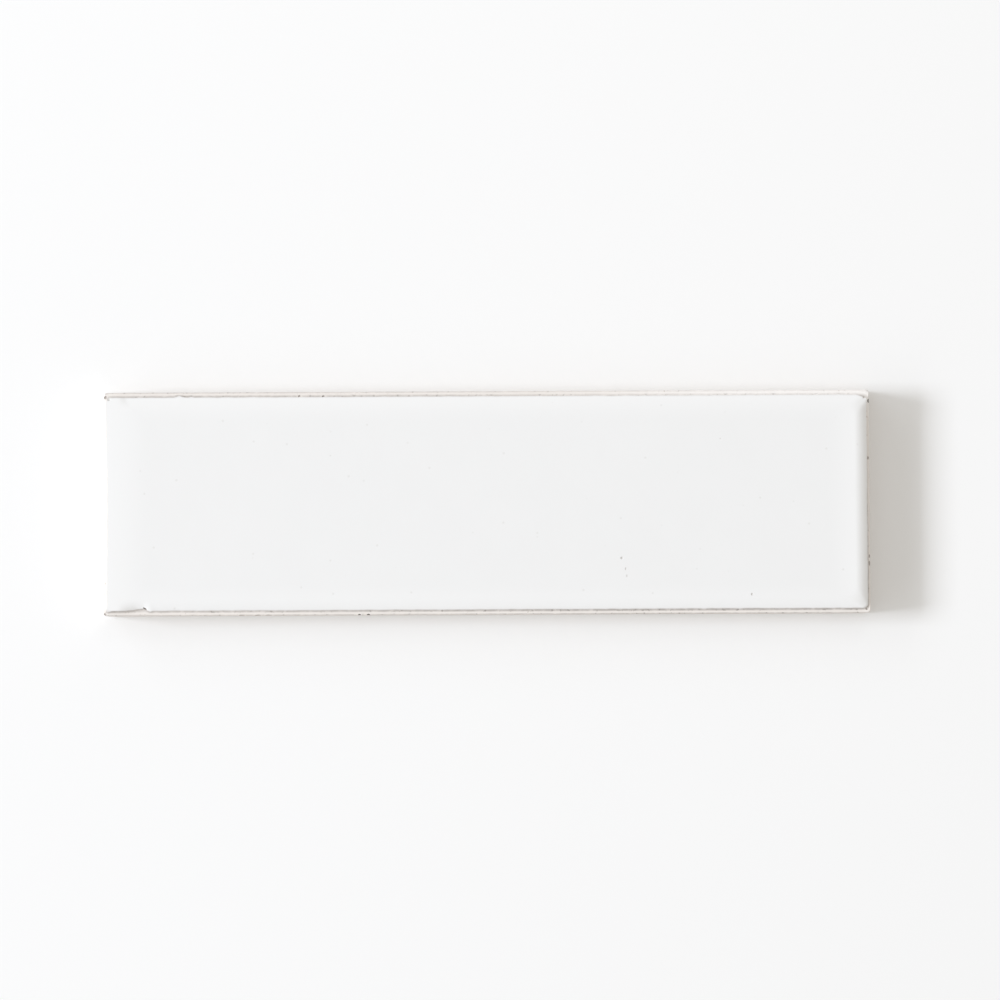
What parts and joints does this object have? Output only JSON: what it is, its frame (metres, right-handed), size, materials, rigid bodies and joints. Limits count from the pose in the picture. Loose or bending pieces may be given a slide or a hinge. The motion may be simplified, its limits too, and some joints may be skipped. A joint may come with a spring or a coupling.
{
  "type": "subway wall tile",
  "caption": "Brick-format glazed ceramic wall tile: flat white face with rolled edges, a narrow bare clay margin round it and a keyed back for bedding in adhesive.",
  "frame": {"origin": "middle of the back, on the plane of its lands, where the tile rests", "axes": "+X along the tile's length, +Y across its width, +Z out of the glazed face"},
  "size_m": [0.194, 0.057, 0.008],
  "materials": {
    "white_glaze": "white gloss glaze on the face and rolled edge; bare cream clay on the margin, sides and back"
  },
  "bodies": {
    "root": {"tile": "white_glaze"}
  },
  "joints": []
}
